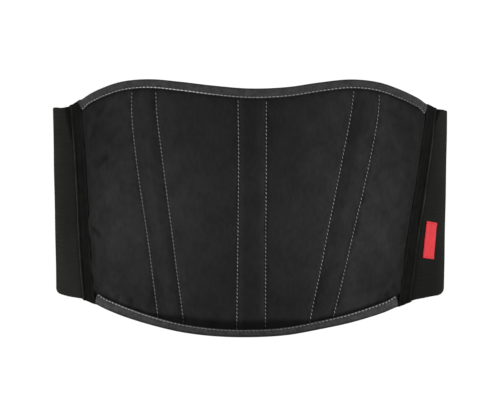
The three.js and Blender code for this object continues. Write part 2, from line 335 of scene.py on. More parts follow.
def clothMaterial(name, look):
    # Colour: two tones mixed by patches and streaks, with threads a little lighter on their crowns as a
    # painted highlight, times
    # the painted shade. Relief: soft unevenness, then fuzz, then the weave, each in millimetres.
    look = plainWeave | look
    material = bpy.data.materials.new(name)
    tree = emptyTree(material)
    place = addNode(tree, "Attribute", attribute_name="cloth").outputs["Vector"]
    weave = addWeave(tree, place, look["warp"], look["weft"])
    patches = addNoise(tree, place, (look["patch"],) * 3)
    streaks = addNoise(tree, place, look["streak"])
    fuzz = addNoise(tree, place, (look["fuzzSize"],) * 3, 2.0)

    tone = addMath(tree, "MULTIPLY", patches, look["patchShare"])
    tone = addMath(tree, "MULTIPLY_ADD", streaks, look["streakShare"], tone)
    tone = addMath(tree, "MULTIPLY_ADD", weave, look["crownShare"], tone)
    ramp = addNode(tree, "ValToRGB", {"Fac": tone})
    for end, key in enumerate(("dark", "light")):
        ramp.color_ramp.elements[end].position = look["toneRange"][end]
        ramp.color_ramp.elements[end].color = (*look[key], 1)
    shade = addNode(tree, "Attribute", attribute_name="shade").outputs["Fac"]
    colour = addNode(tree, "VectorMath", {0: ramp.outputs["Color"], "Scale": shade}, operation="SCALE")

    uneven = addNode(tree, "Bump", {"Height": patches, "Distance": look["unevenMm"] * mm})
    hairy = addNode(tree, "Bump", {"Height": fuzz, "Distance": look["fuzzMm"] * mm,
                                   "Normal": uneven.outputs[0]})
    woven = addNode(tree, "Bump", {"Height": weave, "Distance": look["weaveMm"] * mm,
                                   "Normal": hairy.outputs[0]})
    rough = addMath(tree, "MULTIPLY_ADD", fuzz, look["roughSpread"], look["rough"])
    shader = addNode(tree, "BsdfPrincipled", {
        "Base Color": colour.outputs[0], "Roughness": rough, "Normal": woven.outputs[0],
        "Specular IOR Level": look["specular"], "Sheen Weight": look["sheen"],
        "Sheen Roughness": look["sheenRough"], "Sheen Tint": (*look["sheenTint"], 1),
    })
    addNode(tree, "OutputMaterial", {"Surface": shader.outputs[0]})
    return material


plainWeave = {  # what a cloth has unless its own look says otherwise; sizes in mm
    "warp": (0.9, 0.0), "weft": (0.0, 0.9), "weaveMm": 0.06, "fuzzSize": 0.8, "fuzzMm": 0.1,
    "patch": 16.0, "unevenMm": 0.5, "streak": (2.5, 30.0, 2.5), "patchShare": 0.6, "streakShare": 0.4,
    "crownShare": 0.04, "toneRange": (0.3, 0.7), "rough": 0.72, "roughSpread": 0.2, "specular": 0.06,
    "sheen": 0.015, "sheenRough": 0.45, "sheenTint": grey(1.0),
}
shellCloth = clothMaterial("black_shell_cloth", {
    "dark": grey(0.0219), "light": grey(0.0379), "patch": 24.0, "unevenMm": 0.24,
    "streak": (2.8, 6.5, 2.8), "patchShare": 0.5, "streakShare": 0.5,
})
bindingTwill = clothMaterial("grey_binding_twill", {
    "dark": grey(0.021), "light": grey(0.084), "warp": (0.56, 0.56), "weft": (0.0, 0.0), "weaveMm": 0.09,
    "patch": 5.0, "unevenMm": 0.2, "streak": (1.2, 1.2, 1.2), "crownShare": 0.06, "patchShare": 0.4,
    "streakShare": 0.6, "rough": 0.8, "sheen": 0.03,
})
tapeCloth = clothMaterial("black_seam_tape", {
    "dark": (0.0043, 0.0043, 0.0040), "light": (0.0096, 0.0096, 0.0090), "warp": (0.0, 0.7),
    "weft": (0.35, 0.0), "weaveMm": 0.09, "patch": 9.0, "unevenMm": 0.2, "streak": (1.3, 36.0, 1.3),
    "rough": 0.7, "specular": 0.03, "sheen": 0.0,
})
wingElastic = clothMaterial("black_ribbed_elastic", {
    "dark": (0.0119, 0.0120, 0.0107), "light": (0.0192, 0.0194, 0.0174), "warp": (0.0, 0.62),
    "weft": (0.22, 0.0), "weaveMm": 0.1, "patch": 30.0, "unevenMm": 0.2, "streak": (60.0, 1.4, 60.0),
    "patchShare": 0.3, "streakShare": 0.5, "toneRange": (0.2, 0.6), "rough": 0.78, "specular": 0.0,
    "sheen": 0.0,
})
hookTape = clothMaterial("black_hook_tape", {
    "dark": grey(0.006), "light": grey(0.012), "warp": (0.5, 0.0), "weft": (0.0, 0.35), "weaveMm": 0.45,
    "rough": 0.5, "specular": 0.2,
})
labelWeave = clothMaterial("red_woven_label", {
    "dark": (0.62, 0.012, 0.022), "light": (0.78, 0.021, 0.034), "warp": (0.0, 1.6), "weft": (0.8, 0.0),
    "weaveMm": 0.05, "patch": 5.0, "unevenMm": 0.1, "streak": (6.0, 0.9, 2.0), "crownShare": 0.1,
    "rough": 0.5, "specular": 0.35, "sheen": 0.05,
})
threadLook = {
    "warp": (1.3, 0.16), "weft": (0.0, 0.0), "weaveMm": 0.08, "patch": 3.0, "unevenMm": 0.0,
    "streak": (3.0, 3.0, 3.0), "rough": 0.6,
}
threadTones = {  # dark, light
    "grey": (grey(0.52), grey(0.70)),
    "black": (grey(0.010), grey(0.022)),
    "red": ((0.36, 0.010, 0.018), (0.52, 0.02, 0.03)),
}
threads = {}
for tint, (darkTone, lightTone) in threadTones.items():
    tones = {"dark": darkTone, "light": lightTone}
    threads[tint] = clothMaterial(tint + "_sewing_thread", threadLook | tones)
print("materials made")


# Back panel

panel = {
    "columns": (48, 22, 46, 20, 46, 22, 48),  # mesh columns of each field between seams
    "rows": 160, "crowding": 0.5,             # how much the columns crowd towards the seams
    "sewn": 5.0,                              # thickness on a seam
    "padding": (8.0, 6.6, 8.0, 6.6, 8.0, 6.6, 8.0), "swellPower": 0.7, "fill": 0.5,
    "edgeIn": 1.3, "edgeOut": 4.3,            # flat border inside the bindings
    "edgeMargin": 10.0, "edgeRun": 14.0,
    "sideOut": 2.5, "sideMargin": 8.3, "sideRun": 15.0,
    "sideStep": 0.8, "stepRun": 1.0, "stepFromEdge": (10.0, 13.0),   # step up to a tape's face
    "grooveDepth": 0.55, "grooveWidth": 1.7, "grooveInBorder": 0.3,  # valley that the stitches pull in
    "stayLift": 0.5, "staySoft": 0.14,
    "staySide": {1: (0.16, 0.72), 3: (0.64, 0.97), 5: (0.26, 0.88)},  # where each channel's stay lies
    "liningBulge": 0.8, "liningGroove": 0.9,
    "crinkle": 0.1, "crinkleSizes": (34, 27, 21, 17, 13, 10), "crinkleSeed": 11, "crinkleFrom": 5.0,
    "creaseRise": 3.0, "puckerRise": 2.0,     # how soon creases and puckers begin beside a tape
}

creases = np.array([  # along, height, half length, turn in degrees, depth, width
    [-133, 83, 10, 54, 0.8, 2.2],
    [-131, 39, 12, 40, 0.9, 2.4],
    [-138, 6, 9, 33, 0.5, 2.0],
    [-139.5, -24.5, 11, -35, 1.5, 3.0],
    [-143, 60, 9, 48, 0.6, 2.2],
    [-140, 22, 10, 36, 0.6, 2.4],
    [-121, 62, 13, 50, 0.5, 3.2],
    [-105, -85, 7, 78, 1.5, 2.2],
    [-118, -81, 5, 65, 0.9, 1.9],
    [-100, -71, 7, 10, 0.5, 2.6],
    [122.5, -79, 5, 60, 1.1, 1.9],
    [132, -74, 8, -50, 0.7, 2.6],
    [137, -65, 7, 82, 0.5, 2.0],
    [141, 40, 9, -25, 0.5, 2.2],
    [140, -19, 5, 15, 0.8, 2.4],
])
creaseForm = {"solid": 0.3, "roll": 0.5, "rollAway": 2.4, "rollWidth": 1.6}  # shares of reach, depth, width

edgePucker = {
    "depth": 0.4, "inset": 9.0, "start": (-3.0, 2.0), "footReach": 7.0, "topReach": 6.0, "topShare": 0.5,
    "wave": {"length": 2.1, "sway": 1.4, "swayLength": 9.0, "second": 0.6, "secondLength": 3.7},
    "phases": (0.0, 1.0),
}
sidePucker = {
    "depth": 0.25, "inset": 10.0, "start": (-2.0, 3.0), "reach": 6.0, "lean": 0.5,
    "wave": {"length": 2.9, "sway": 1.7, "swayLength": 11.0, "second": 0.5, "secondLength": 5.3},
    "leftPhase": 0.0, "rightPhase": 2.0,
}

coverSim = {  # the panel's cover as Blender's cloth
    "columns": (14, 6, 13, 6, 13, 6, 14), "rows": 48, "frames": 24,
    "pinnedUnder": 0.02,                    # share of the full swell up to which a border is pinned
    "crestPercent": 95, "leastCrest": 0.3,  # how a field's own swell is measured, and the least, in mm
    "deepest": -0.4, "highest": 1.25,       # limits, in mm and in rises of the padding
    "ease": 0.4,                            # how far the finest wrinkles are smoothed out
    "settings": {
        "quality": 8, "mass": 0.02, "tension_stiffness": 20, "compression_stiffness": 20,
        "shear_stiffness": 8, "bending_stiffness": 0.02, "shrink_min": -0.012,
        "use_pressure": True, "uniform_pressure_force": 4,
    },
}

# Painted shade on the panel's cloth where less light falls: beside the tapes, under and over the bindings,
# in the middle of the back, high up and low down, beside the stays, at the seams and in the creases
panelShades = {  # how much darker first, then where
    "besideTape": {"leftSide": (0.55, 28.0, 52.0), "rightSide": (0.52, 31.0, 60.0)},  # reach low and high
    "reachGrows": (-20.0, 75.0),                  # heights between which that reach grows
    "inMiddle": (0.16, 50.0),                     # reach from the middle of the back
    "underTop": (0.35, 0.7, 2.0),                 # in the middle, over the top edge's humps, reach
    "humps": (45.0, 80.0),                        # along, where a hump begins and where it is full
    "overFoot": (0.68, 5.0, 5.5),                 # reach in the middle of the back, and its fade
    "footNarrows": ((55.0, 90.0), (22.0, 58.0)),  # along, on the left and on the right
    "footLoses": (0.7, 0.5),                      # shares of reach and fade that are lost there
    "high": (0.2, 10.0, 75.0), "low": (0.19, 25.0, 85.0),              # from and to heights
    "besideStay": {1: (0.66, 0.98), 3: (0.14, 0.78), 5: (0.02, 0.34)},  # half of a channel with no stay
    "noStay": 0.11, "noStaySoft": 0.16,
    "atSeam": (0.15, 1.6), "inCrease": 0.35, "darkestCrease": 0.5,
}
# Painted highlights on the padding's crests, and painted shade where the gain is below 0
crestRows = np.array([  # field, share across, half width, lowest height (-200: all of it), how much paler
    [1, 0.16, 0.30, -200, -0.24],
    [1, 0.60, 0.25, -200, 0.10],
    [3, 0.09, 0.14, -200, 0.24],
    [3, 0.93, 0.13, -200, 0.16],
    [3, 0.75, 0.30, 20, 0.12],
    [4, 0.70, 0.36, 20, 0.24],
    [5, 0.55, 0.25, 20, 0.12],
    [5, 0.92, 0.20, -200, -0.15],
    [6, 0.00, 0.50, -200, 0.30],
])
crestFade = (10, 30)  # below and above its lowest height


def panelGrid(columnCounts, rows, crowding):
    # Columns stand at shares between neighbouring seams, crowded towards the seams, and rows at even shares
    # between the cut edges
    fieldOf = np.append(np.repeat(np.arange(len(columnCounts)), columnCounts), len(columnCounts) - 1)
    step = np.append(np.concatenate([np.arange(n) / n for n in columnCounts]), 1.0)
    share = crowded(step, crowding)
    column = np.arange(len(fieldOf))

    def lineAt(height):
        lines = np.stack([line(np.broadcast_to(height, (len(column), rows))) for line in seamLines])
        return blend(lines[fieldOf, column], lines[fieldOf + 1, column], share[:, None])

    inset = panel["edgeIn"]
    along, height = betweenEdges(lineAt, np.linspace(0, 1, rows)[None, :], inset, inset)
    return {"along": along, "height": height, "field": fieldOf, "share": share, "step": fieldOf + step}


def sideSwell(along, height):
    # 0 under the side tapes, 1 clear of them
    margin = panel["sideMargin"]
    return smoothStep(fromSides(along, height), margin, margin + panel["sideRun"])


def edgeSwell(along, height):
    # 0 under the bindings, 1 clear of them
    margin = panel["edgeMargin"]
    return smoothStep(fromEdges(along, height) - panel["edgeIn"], margin, margin + panel["edgeRun"])


def sewnSkin(along, height):
    # The panel's front before the padding swells it: thin at the borders, sewn thickness inside. Beside a
    # tape it steps up to the tape's face, except under the bindings.
    border = blend(panel["edgeOut"], panel["sewn"], edgeSwell(along, height))
    swell = sideSwell(along, height)
    besideTape = smoothStep(fromSides(along, height), tapeHalf, tapeHalf + panel["stepRun"])
    step = besideTape * smoothStep(fromEdges(along, height), *panel["stepFromEdge"]) * (1 - swell)
    return blend(panel["sideOut"], border, swell) + panel["sideStep"] * step


def simulateCover(start, held):
    # Blender's cloth: held points stay, and pressure fills a cover cut a little large. Gives the new places.
    index = np.arange(held.size).reshape(held.shape)
    corners = [index[:-1, :-1], index[1:, :-1], index[1:, 1:], index[:-1, 1:]]
    mesh = bpy.data.meshes.new("cover")
    mesh.from_pydata(start.reshape(-1, 3).tolist(), [], np.stack(corners, axis=-1).reshape(-1, 4).tolist())
    cover = addObject("cover", mesh)
    pinned = cover.vertex_groups.new(name="pinned")
    pinned.add(index[held].tolist(), 1.0, "REPLACE")
    cloth = cover.modifiers.new("cloth", "CLOTH")
    cloth.settings.vertex_group_mass = "pinned"
    for key, value in coverSim["settings"].items():
        setattr(cloth.settings, key, value)
    cloth.settings.effector_weights.gravity = 0
    cloth.collision_settings.use_collision = False
    for number in range(1, coverSim["frames"] + 1):
        bpy.context.scene.frame_set(number)
    shaped = cover.evaluated_get(bpy.context.evaluated_depsgraph_get()).data
    moved = np.empty(start.size, np.float32)
    shaped.vertices.foreach_get("co", moved)
    bpy.context.scene.frame_set(1)
    bpy.data.objects.remove(cover)
    bpy.data.meshes.remove(mesh)
    return moved.reshape(start.shape)


def swellByCloth(fine):
    # How far each point of a coarse cover moves out when its seams and borders are pinned, scaled to the
    # padding of its field, eased, and carried over to the fine grid by curves across the fields and up
    coarse = panelGrid(coverSim["columns"], coverSim["rows"], 0.0)
    along, height, field = coarse["along"], coarse["height"], coarse["field"]
    onSeam = np.isin(coarse["share"], (0.0, 1.0))[:, None]
    inBorder = np.minimum(edgeSwell(along, height), sideSwell(along, height)) < coverSim["pinnedUnder"]
    held = onSeam | inBorder
    flat = flatPlace(along, height, sewnSkin(along, height))
    start = wrap(flat)
    swell = ((simulateCover(start, held) - start) * outward(flat)).sum(axis=-1) / mm
    rise = np.asarray(panel["padding"]) - panel["sewn"]
    swells = [swell[field == number] for number in range(len(rise))]
    print("cloth swell mm:", [round(float(each.max()), 2) for each in swells])
    crest = np.array([np.percentile(each, coverSim["crestPercent"]) for each in swells])
    swell *= (rise / np.maximum(crest, coverSim["leastCrest"]))[field][:, None]
    swell = np.clip(swell, coverSim["deepest"], rise[field][:, None] * coverSim["highest"])
    beside = swell.copy()
    beside[1:-1, 1:-1] = (swell[:-2, 1:-1] + swell[2:, 1:-1] + swell[1:-1, :-2] + swell[1:-1, 2:]) / 4
    swell = np.where(held, swell, blend(swell, beside, coverSim["ease"]))
    across = curveThrough(field + coarse["share"], swell)(fine["field"] + fine["share"])
    up = np.linspace(0, 1, panel["rows"])
    return curveThrough(np.linspace(0, 1, coverSim["rows"]), across.T)(up).T


def crinkles(along, height):
    # A sum of a few long sines in fixed directions, as a soft cover has everywhere
    draw = np.random.default_rng(panel["crinkleSeed"])
    longest = max(panel["crinkleSizes"])
    total = np.zeros_like(along)
    for size in panel["crinkleSizes"]:
        turn, phase = draw.uniform(0, np.pi), draw.uniform(0, 2 * np.pi)
        way = along * np.cos(turn) + height * np.sin(turn)
        total += np.sin(2 * np.pi * way / size + phase) * size / longest
    return total * panel["crinkle"]


def creaseDips(along, height):
    # Each crease is a dip with a Gaussian section and a low roll beside it, faded out towards its two ends
    total = np.zeros_like(along)
    for a, h, reach, turnDeg, depth, width in creases:
        turn = math.radians(turnDeg)
        lengthwise = (along - a) * math.cos(turn) + (height - h) * math.sin(turn)
        across = (height - h) * math.cos(turn) - (along - a) * math.sin(turn)
        roll = bell(across - creaseForm["rollAway"] * width, creaseForm["rollWidth"] * width)
        section = bell(across, width) - creaseForm["roll"] * roll
        total -= depth * section * (1 - smoothStep(np.abs(lengthwise), creaseForm["solid"] * reach, reach))
    return total


def unevenWave(place, wave, phase, secondPhase):
    # Folds of changing width: a sine whose phase sways with a longer one, and a second sine on top
    sway = wave["sway"] * np.sin(place / wave["swayLength"])
    second = wave["second"] * np.sin(place / wave["secondLength"] + secondPhase)
    return np.sin(place / wave["length"] + sway + phase) + second


def besideLine(inward, reach, start):
    # Dies out from a sewn line inwards, and sooner outwards
    return np.exp(-np.abs(inward) / reach) * smoothStep(inward, *start)


def edgePuckers(along, height):
    # Short folds that a binding's stitches gather: uneven waves along the edge that die out away from it
    fromFoot = height - bottomEdge(along) - edgePucker["inset"]
    fromTop = topEdge(along) - height - edgePucker["inset"]
    atFoot = besideLine(fromFoot, edgePucker["footReach"], edgePucker["start"])
    atTop = besideLine(fromTop, edgePucker["topReach"], edgePucker["start"])
    wave = unevenWave(along, edgePucker["wave"], *edgePucker["phases"])
    return edgePucker["depth"] * wave * (atFoot + edgePucker["topShare"] * atTop)


def sidePuckers(along, height):
    # The same beside the side tapes: waves up the seam that lean as they go in
    total = np.zeros_like(along)
    fromLeft, fromRight = along - seams["leftSide"](height), seams["rightSide"](height) - along
    for fromSeam, key in ((fromLeft, "leftPhase"), (fromRight, "rightPhase")):
        inward = fromSeam - sidePucker["inset"]
        phase = sidePucker[key]
        wave = unevenWave(height + sidePucker["lean"] * inward, sidePucker["wave"], phase, phase)
        total += wave * besideLine(inward, sidePucker["reach"], sidePucker["start"])
    return sidePucker["depth"] * total


def footBand(along, fromFoot):
    # 1 in the band of painted shadow over the lower binding, which is tallest in the middle of the back, 0
    # above it
    reach, fade = panelShades["overFoot"][1:]
    left, right = panelShades["footNarrows"]
    outwards = np.where(along < 0, smoothStep(-along, *left), smoothStep(along, *right))
    reachLost, fadeLost = panelShades["footLoses"]
    reach = reach * (1 - reachLost * outwards)
    return 1 - smoothStep(fromFoot, reach, reach + fade * (1 - fadeLost * outwards))


def panelShade(grid, fromSeam, dips):
    # Painted shade in every hollow: beside the tapes, along both bindings, in the empty half of each
    # channel, in the creases and at the stitches; a little in the middle of the back, high up and low down;
    # and painted highlights on the padding's crests
    along, height, share, field = grid["along"], grid["height"], grid["share"], grid["field"]
    fromTop, fromFoot = fromBindings(along, height)
    shade = np.ones_like(along)
    for name, (dark, lowReach, highReach) in panelShades["besideTape"].items():
        fromTape = np.abs(along - seams[name](height)) - tapeHalf
        reach = blend(lowReach, highReach, smoothStep(height, *panelShades["reachGrows"]))
        shade *= 1 - dark * (1 - smoothStep(fromTape, 0, reach))
    dark, reach = panelShades["inMiddle"]
    shade *= 1 - dark * bell(along, reach)
    inMiddle, onHump, reach = panelShades["underTop"]
    dark = blend(inMiddle, onHump, smoothStep(np.abs(along), *panelShades["humps"]))
    shade *= 1 - dark * np.exp(-np.maximum(fromTop, 0) / reach)
    shade *= 1 - panelShades["overFoot"][0] * footBand(along, fromFoot)
    (high, *rise), (low, *fall) = panelShades["high"], panelShades["low"]
    shade *= 1 - high * smoothStep(height, *rise) - low * smoothStep(-height, *fall)
    for number, (start, end) in panelShades["besideStay"].items():
        hollow = np.where(field == number, band(share, start, end, panelShades["noStaySoft"]), 0)
        shade *= 1 - panelShades["noStay"] * hollow[:, None]
    for number, place, reach, lowest, gain in crestRows:
        crest = np.where(field == number, 1 - smoothStep(np.abs(share - place), 0, reach), 0)[:, None]
        shade *= 1 + gain * crest * smoothStep(height, lowest - crestFade[0], lowest + crestFade[1])
    dark, reach = panelShades["atSeam"]
    shade *= 1 - dark * bell(fromSeam, reach)
    creased = 1 + panelShades["inCrease"] * np.minimum(dips, 0)
    return shade * np.clip(creased, panelShades["darkestCrease"], 1)


def makePanel():
    # Front: the sewn skin and its swell, with grooves along the seams, stays in the channels, crinkles,
    # creases and puckers. Back: a lining that bulges a little between its seams.
    grid = panelGrid(panel["columns"], panel["rows"], panel["crowding"])
    along, height, field, share = grid["along"], grid["height"], grid["field"], grid["share"]
    lines = np.stack([line(height) for line in seamLines])
    column = np.arange(len(field))
    width = lines[field + 1, column] - lines[field, column]
    # the side seams lie under their tapes and make no groove
    leftGap = np.where(field[:, None] == 0, far, share[:, None] * width)
    rightGap = np.where(field[:, None] == len(panel["columns"]) - 1, far, (1 - share[:, None]) * width)
    fromSeam = np.minimum(leftGap, rightGap)
    offTape, offBinding = sideSwell(along, height), edgeSwell(along, height)
    inside = offBinding * offTape

    out = sewnSkin(along, height) + swellByCloth(grid)
    groove = bell(fromSeam, panel["grooveWidth"])
    out -= panel["grooveDepth"] * groove * blend(panel["grooveInBorder"], 1, inside)
    for number, (start, end) in panel["staySide"].items():
        stay = np.where(field == number, band(share, start, end, panel["staySoft"]), 0)[:, None]
        out += stay * panel["stayLift"] * inside
    out += crinkles(along, height) * inside * (1 - bell(fromSeam, panel["crinkleFrom"]))
    dips = creaseDips(along, height) * np.clip(offTape * panel["creaseRise"], 0, 1)
    dips += edgePuckers(along, height) * np.clip(offTape * panel["puckerRise"], 0, 1)
    dips += sidePuckers(along, height)
    out += dips

    bulge = np.abs(np.sin(np.pi * share))[:, None] * panel["liningBulge"] * inside
    lining = panel["edgeIn"] * (1 - offBinding) - bulge + panel["liningGroove"] * groove * inside
    outer, inner = flatPlace(along, height, out), flatPlace(along, height, lining)
    piece = addWall("padded_back", outer, inner, shellCloth, panelShade(grid, fromSeam, dips))
    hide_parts("back_panel")
    seamColumns = np.searchsorted(grid["step"], np.arange(1, len(panel["columns"])))
    return outer[seamColumns], inner[seamColumns]


seamsOutside, seamsInside = makePanel()
print("padded back made")


# Bindings folded over the panel's edges

binding = {
    "cloth": 1.0, "foldRadius": 1.8, "frontOut": 5.6, "backExtra": 0.4,
    "stations": 520, "backPoints": 8, "arcPoints": 6, "frontPoints": 18, "frontCrowding": 0.8,
    "backThin": 0.3, "frontThin": 0.6,              # how far the cloth thins at its two cut edges
    "stitchInset": 0.9,                             # from its inner edge to the stitches
    "pillow": 0.5,                                  # swell between the fold and the stitches
    "stitchDip": 0.5, "dipWidth": 0.9, "dipShares": (0.8, 0.2),  # all along, and more at each stitch
    "pucker": 0.16, "puckerReach": 2.6,
    "spreadRun": 12.0,                              # how far from an end it begins to get wider
    "tapeClimb": 1.2, "climbRun": (6.2, 7.8),       # how it climbs on the left tape, from that tape's seam
    "stitch": {"pitch": 3.4, "radius": 0.42},
    "dash": ([-140, -105, 25, 65, 130], [2.7, 3.4, 3.4, 2.85, 2.7]),  # along, length of a stitch
}
# A binding's tone is painted light and shade along its edge, shadeAtFold is painted shade at its fold, and
# threadTone is painted light and shade on its stitches
bindingEdges = {  # upward is 1 where the panel lies above the edge; tone is by the distance from the middle
    "top": {
        "edge": topEdge, "upward": -1, "width": topWidth,
        "endInset": (5.6, 7.8), "endSpread": 1.5,   # ends from the side seams, and how much wider they are
        "shadeAtFold": 0.55, "shadeReach": 2.0,
        "tone": ([0, 60, 120], [1.16, 1.14, 0.97]),
        "threadTone": ([-140, -105, -80, -50, -25, 100, 150], [0.84, 0.84, 1.22, 1.28, 0.8, 0.84, 0.48]),
    },
    "bottom": {
        "edge": bottomEdge, "upward": 1, "width": bottomWidth,
        "endInset": (7.8, 7.8), "endSpread": 1.2,
        "shadeAtFold": 0.65, "shadeReach": 3.5,
        "tone": ([0, 60, 110], [1.05, 1.07, 1.17]),
        "threadTone": ([-115, -85, -60, -30, 0, 30, 60, 85, 115],
                       [0.95, 0.84, 0.54, 0.42, 0.36, 0.42, 0.54, 0.84, 0.95]),
    },
}


def bindingEnds(edge, insets):
    # Where the binding's two ends meet the side tapes
    left = right = 0.0
    for _ in range(settleRounds):
        left = seams["leftSide"](edge(left)) + insets[0]
        right = seams["rightSide"](edge(right)) - insets[1]
    return float(left), float(right)


def frontLevel(x, stitchX, along, height):
    # Front of the folded tape, x from its fold: a pillow up to the stitch line, a dip there that deepens at
    # each stitch, and a soft pucker beside it. Near its ends it follows the panel down to the thin border,
    # and its left end climbs on the tape.
    drop = (panel["edgeOut"] - panel["sideOut"]) * (1 - sideSwell(along, height))
    onTape = 1 - smoothStep(along - seams["leftSide"](height), *binding["climbRun"])
    drop = drop - binding["tapeClimb"] * onTape
    pulse = np.cos(2 * np.pi * along / binding["stitch"]["pitch"])
    always, atStitch = binding["dipShares"]
    pillow = binding["pillow"] * np.sin(np.pi * np.clip(x / stitchX, 0, 1))
    dip = binding["stitchDip"] * bell(x - stitchX, binding["dipWidth"]) * (always - atStitch * pulse)
    pucker = binding["pucker"] * pulse * bell(x - stitchX, binding["puckerReach"])
    return binding["frontOut"] - drop + pillow - dip + pucker


def makeBinding(where, row):
    # Section carried along the edge: back leg, half-round fold, front leg. Gives its stitch line in front
    # and at the back.
    edge, upward = row["edge"], row["upward"]
    left, right = bindingEnds(edge, row["endInset"])
    along = np.linspace(left, right, binding["stations"])
    slope = edge(along + 0.5) - edge(along - 0.5)  # rise over 1 mm
    steep = np.hypot(slope, 1)
    inX, inZ = (-slope / steep * upward)[:, None], (upward / steep)[:, None]
    fromEnd = np.minimum(along - left, right - along)
    spread = row["endSpread"] * (1 - smoothStep(fromEnd, 0, binding["spreadRun"]))
    width = (row["width"](np.abs(along)) + spread)[:, None]
    stitchX = width - binding["stitchInset"]
    cloth, radius = binding["cloth"], binding["foldRadius"]
    arcCount, frontCount = binding["arcPoints"], binding["frontPoints"]

    def skin(inset):
        # The outer skin has inset 0, the inner one lies a cloth's thickness inside it
        arc = np.linspace(0, np.pi / 2, arcCount + 2)[1:-1]
        backX = radius + (width + binding["backExtra"] - radius) * np.linspace(1, 0, binding["backPoints"])
        backY = np.full_like(backX, inset)
        backY[:, 0] += binding["backThin"] * (cloth / 2 - inset)
        downX = radius - (radius - inset) * np.sin(arc) + 0 * width
        downY = radius - (radius - inset) * np.cos(arc) + 0 * width
        frontX = radius + (width - radius) * np.linspace(0, 1, frontCount) ** binding["frontCrowding"]
        x = np.concatenate([backX, downX, downX[:, ::-1], frontX], axis=1)
        placeAlong = along[:, None] + x * inX
        placeHeight = edge(along)[:, None] + x * inZ
        level = frontLevel(x, stitchX, placeAlong, placeHeight)
        frontY = level[:, -frontCount:] - inset
        frontY[:, -1] -= binding["frontThin"] * (cloth / 2 - inset)
        upY = level[:, -frontCount - arcCount:-frontCount] - downY[:, ::-1]
        y = np.concatenate([backY, downY, upY, frontY], axis=1)
        return flatPlace(placeAlong, placeHeight, y), x

    (outer, fromFold), (inner, _) = skin(0.0), skin(cloth)
    # Painted shade towards the fold, times painted light and shade along the edge
    foldShade = 1 - row["shadeAtFold"] * (1 - smoothStep(fromFold, 0, row["shadeReach"]))
    shade = curveThrough(*row["tone"])(np.abs(along))[:, None] * foldShade
    addSheet(where + "_edge_binding", outer, inner, bindingTwill, shade,
             node=where + "_binding")
    x = stitchX[:, 0]
    seamAlong, seamHeight = along + x * inX[:, 0], edge(along) + x * inZ[:, 0]
    frontSeam = flatPlace(seamAlong, seamHeight, frontLevel(x, x, seamAlong, seamHeight))
    return frontSeam, flatPlace(seamAlong, seamHeight, 0.0)


bindingSeams = {where: makeBinding(where, row) for where, row in bindingEdges.items()}
print("bindings made")


# Tapes over the side seams

tape = {
    "cloth": 1.2, "level": 2.8, "stations": 300, "points": 44, "crowding": 0.35,
    "wobble": 0.25, "wobbleLengths": (6.3, 2.7), "secondWobble": 0.6, "wobbleFrom": (3.0, 7.0),
    "ripple": 0.12, "rippleAcross": -6.2, "rippleWidth": 1.6,   # at each stitch, on the panel's side
    "sway": 0.18, "swayLength": 8.5, "swayFrom": (3.0, 6.0),    # of the ridge
    "ridgeFrom": (2.2, 3.2),
    "ridgeFade": {  # height where a ridge starts to lie down, height where it has, how much
        -1: [(48, 74, 0.8)],
        1: [(56, 76, 0.8), (0, -45, 0.84)],
    },
    "stitchAcross": -5.1, "stitch": {"pitch": 3.2, "dash": 2.3, "radius": 0.28},
}
# The shade column is painted light and shade: painted highlights on the ridge and at the panel's edge,
# painted shade in the grooves
tapeRows = np.array([  # across from the panel's side to the wing's, lift of its front, shade
    [-7.5, -0.7, 2.3], [-7.1, -0.45, 2.1], [-6.4, -0.1, 1.8], [-5.7, 0.05, 1.3], [-5.1, -0.1, 0.9],
    [-4.2, 0.05, 1.0], [0.0, 0.1, 1.0], [1.9, 0.0, 0.9], [2.8, -0.2, 0.6], [3.6, 0.6, 2.4],
    [4.6, 1.3, 5.0], [5.6, 0.7, 3.2], [6.2, 0.0, 0.9], [6.9, -0.4, 0.3], [7.5, -0.5, 0.3],
])
tapeLift = curveThrough(tapeRows[:, 0], tapeRows[:, 1])
tapeShade = curveThrough(tapeRows[:, 0], tapeRows[:, 2])


def makeTape(where, wingSide):
    # Profile carried up the seam: flat with a sewn-down edge on the panel and a rolled ridge on the wing.
    # Gives its stitch line.
    seam = seams[where + "Side"]
    spread = crowded(np.linspace(0, 1, tape["points"]), tape["crowding"])
    across = blend(-tapeHalf, tapeHalf, spread)[None, :]
    up = np.linspace(0, 1, tape["stations"])[:, None]
    along, height = betweenEdges(lambda h: seam(h) + wingSide * across, up)
    long, short = tape["wobbleLengths"]
    wobble = np.sin(height / long + wingSide) + tape["secondWobble"] * np.sin(height / short)
    along = along + wingSide * tape["wobble"] * wobble * smoothStep(np.abs(across), *tape["wobbleFrom"])
    ripple = tape["ripple"] * np.sin(2 * np.pi * height / tape["stitch"]["pitch"])
    ripple = ripple * bell(across - tape["rippleAcross"], tape["rippleWidth"])
    sway = tape["sway"] * np.sin(height / tape["swayLength"] + 2 * wingSide)
    sway = sway * smoothStep(across, *tape["swayFrom"])
    ridge = np.ones_like(height)
    for start, end, share in tape["ridgeFade"][wingSide]:
        ridge = ridge - share * smoothStep(height, start, end) * smoothStep(across, *tape["ridgeFrom"])
    face = tape["level"] + tape["cloth"] + tapeLift(across) * ridge + ripple + sway
    outer, inner = flatPlace(along, height, face), flatPlace(along, height, tape["level"])
    addSheet(where + "_seam_tape", outer, inner, tapeCloth, 1 + (tapeShade(across) - 1) * ridge,
             node=where + "_side_tape")
    return outer[:, np.abs(across[0] - tape["stitchAcross"]).argmin()]


tapeSeams = [makeTape("left", -1), makeTape("right", 1)]
print("side tapes made")


# Elastic wings

